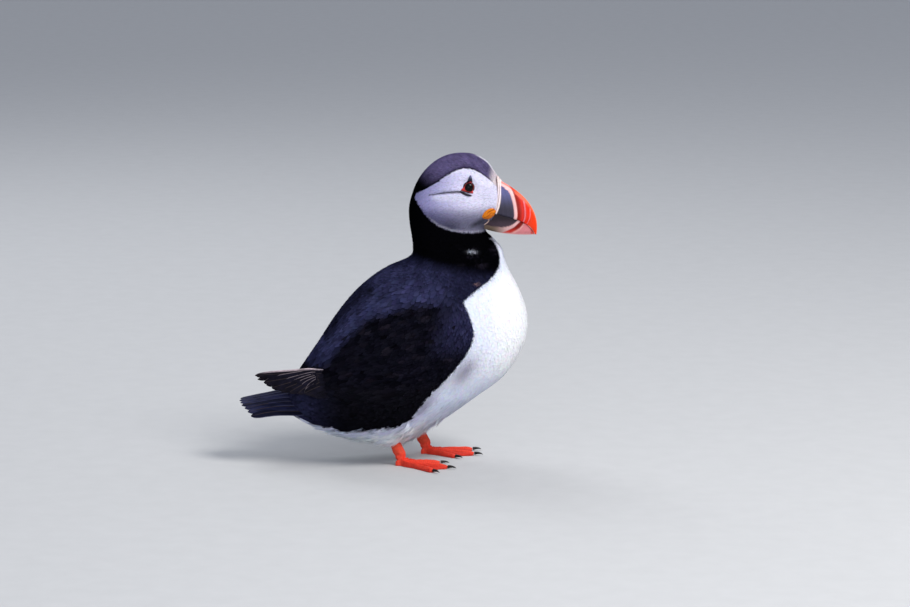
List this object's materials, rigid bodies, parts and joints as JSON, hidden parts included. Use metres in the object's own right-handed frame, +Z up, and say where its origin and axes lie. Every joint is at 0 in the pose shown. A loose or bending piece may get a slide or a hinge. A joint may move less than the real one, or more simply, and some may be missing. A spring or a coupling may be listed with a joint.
{
  "type": "atlantic puffin",
  "caption": "Life-size still model of a standing Atlantic puffin, head turned a little to its right, wings folded.",
  "frame": {"origin": "on the floor under the middle of the bird's bounding box", "axes": "+X the way the bird faces, +Z up, -Y the bird's right side"},
  "size_m": [0.2017, 0.0966, 0.2119],
  "materials": {
    "plumage_black": "soft matt feathers with a slight blue sheen",
    "plumage_face": "short velvety feathers",
    "plumage_white": "soft matt feathers",
    "flight_feathers": "stiff vaned feathers, satin",
    "leg_skin": "scaled skin, satin",
    "claw_horn": "polished horn",
    "bill_horn": "ridged horn, satin",
    "cere": "fleshy rim, matt",
    "rosette": "wrinkled skin, matt",
    "eye": "wet, glossy",
    "eye_ring": "bare skin",
    "eye_plate": "small horny plates"
  },
  "bodies": {
    "root": {"trunk": "plumage_black", "neck": "plumage_black", "head": "plumage_face", "tail": "flight_feathers", "wing_right": "plumage_black", "primaries_right": "flight_feathers", "thigh_right": "plumage_white", "leg_right": "leg_skin", "foot_right": "leg_skin", "claw_right_inner": "claw_horn", "claw_right_middle": "claw_horn", "claw_right_outer": "claw_horn", "eye_right": "eye", "eye_ring_right": "eye_ring", "eye_plate_upper_right": "eye_plate", "eye_plate_lower_right": "eye_plate", "rosette_right": "rosette", "wing_left": "plumage_black", "primaries_left": "flight_feathers", "thigh_left": "plumage_white", "leg_left": "leg_skin", "foot_left": "leg_skin", "claw_left_inner": "claw_horn", "claw_left_middle": "claw_horn", "claw_left_outer": "claw_horn", "eye_left": "eye", "eye_ring_left": "eye_ring", "eye_plate_upper_left": "eye_plate", "eye_plate_lower_left": "eye_plate", "rosette_left": "rosette", "bill_upper": "bill_horn", "bill_lower": "bill_horn", "cere": "cere"}
  },
  "joints": []
}
